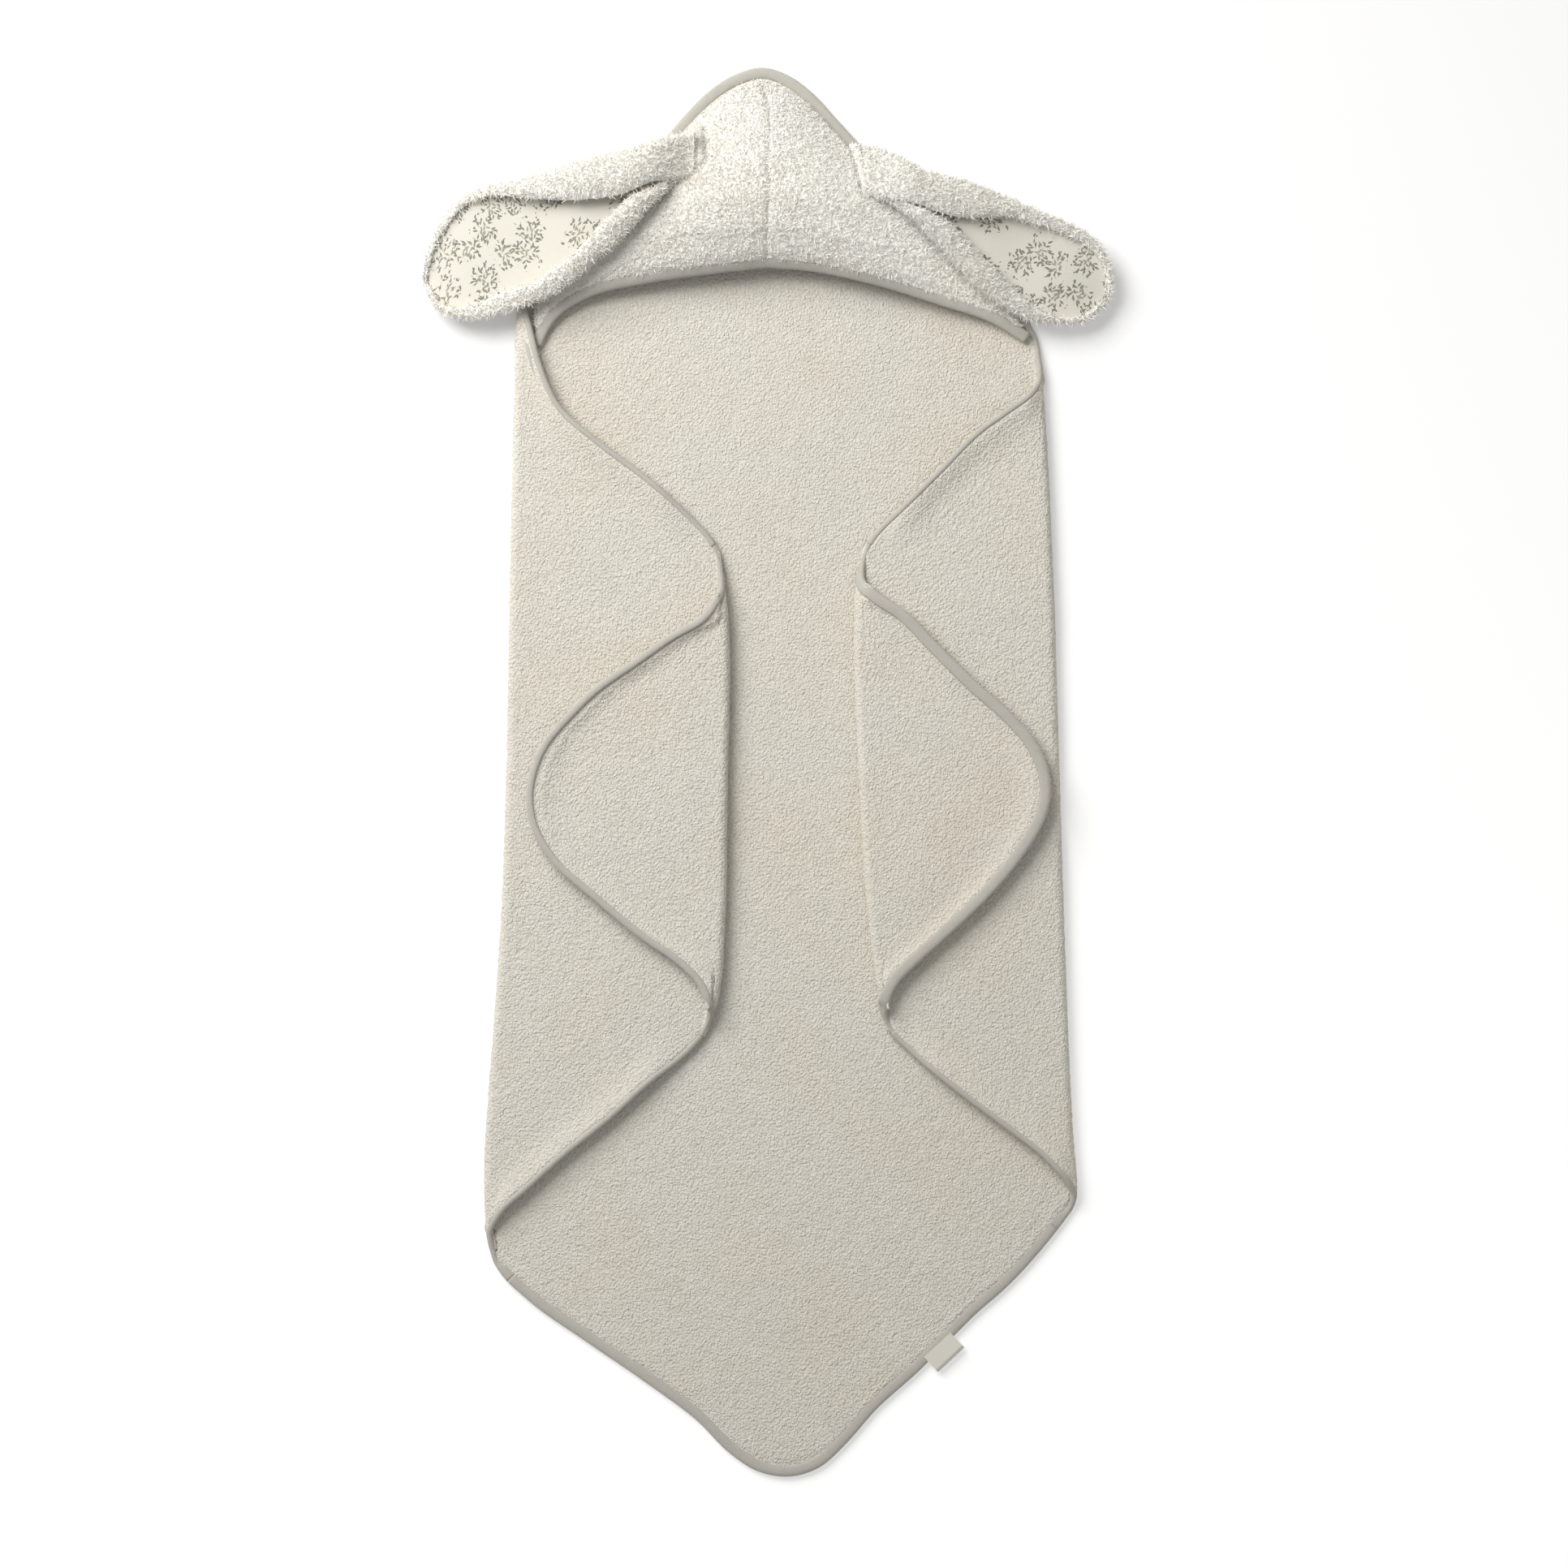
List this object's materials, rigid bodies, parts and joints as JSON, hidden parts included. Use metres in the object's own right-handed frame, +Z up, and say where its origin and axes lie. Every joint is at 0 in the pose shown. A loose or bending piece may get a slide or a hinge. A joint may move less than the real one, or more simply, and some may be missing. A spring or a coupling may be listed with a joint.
{
  "type": "hooded baby towel",
  "caption": "Square terry towel laid as a diamond with both side corners folded into pleats, a puffed hood over the top corner and floppy lined ears.",
  "frame": {"origin": "middle of the laid towel's footprint, on the surface it lies on", "axes": "+X across the towel to the right, +Y up the towel towards the hood's point, +Z up off the surface"},
  "size_m": [0.5364, 1.0938, 0.0512],
  "materials": {
    "towel_terry": "short looped terry pile, warm cream",
    "hood_terry": "long fluffy terry pile, off-white",
    "binding_tape": "fine ribbed woven tape, grey-beige",
    "ear_lining": "smooth printed cotton, small scattered sprigs",
    "woven_label": "plain woven satin tab, blank"
  },
  "bodies": {
    "towel_centre": {"towel_centre_panel": "towel_terry", "top_corner_binding": "binding_tape", "bottom_corner_binding": "binding_tape", "hood_left_panel": "hood_terry", "hood_right_panel": "hood_terry", "hood_centre_seam": "hood_terry", "hood_front_binding": "binding_tape", "woven_label": "woven_label", "left_ear_tuck": "hood_terry", "right_ear_tuck": "hood_terry"},
    "left_wing": {"left_wing_panel": "towel_terry", "left_wing_upper_binding": "binding_tape", "left_wing_lower_binding": "binding_tape"},
    "right_wing": {"right_wing_panel": "towel_terry", "right_wing_upper_binding": "binding_tape", "right_wing_lower_binding": "binding_tape"},
    "left_tip": {"left_tip_panel": "towel_terry", "left_tip_binding": "binding_tape"},
    "right_tip": {"right_tip_panel": "towel_terry", "right_tip_binding": "binding_tape"},
    "left_ear": {"left_ear_back": "hood_terry", "left_ear_lining": "ear_lining"},
    "right_ear": {"right_ear_back": "hood_terry", "right_ear_lining": "ear_lining"}
  },
  "joints": [
    {"name": "left_wing_fold", "type": "hinge", "parent": "towel_centre", "child": "left_wing", "pos_m": [-0.20881, 0.00337, 0.0058], "axis": [-0.038, -0.9993, 0], "range_deg": [0, 178]},
    {"name": "right_wing_fold", "type": "hinge", "parent": "towel_centre", "child": "right_wing", "pos_m": [0.22519, 0.00337, 0.0058], "axis": [-0.038, 0.9993, 0], "range_deg": [0, 178]},
    {"name": "left_tip_fold", "type": "hinge", "parent": "left_wing", "child": "left_tip", "pos_m": [-0.03231, 0.00337, 0.0128], "axis": [0.0155, 0.9999, 0], "range_deg": [0, 178]},
    {"name": "right_tip_fold", "type": "hinge", "parent": "right_wing", "child": "right_tip", "pos_m": [0.07069, 0.00337, 0.0128], "axis": [0.0388, -0.9992, 0], "range_deg": [0, 178]},
    {"name": "left_ear_seam", "type": "hinge", "parent": "towel_centre", "child": "left_ear", "pos_m": [-0.05881, 0.48435, 0.0443], "axis": [0, 1, 0], "range_deg": [0, 110]},
    {"name": "right_ear_seam", "type": "hinge", "parent": "towel_centre", "child": "right_ear", "pos_m": [0.07719, 0.46935, 0.0443], "axis": [0, -1, 0], "range_deg": [0, 110]}
  ],
  "couplings": [
    {"joint": "left_tip_fold", "follows": "left_wing_fold", "ratio": 1},
    {"joint": "right_tip_fold", "follows": "right_wing_fold", "ratio": 1}
  ]
}
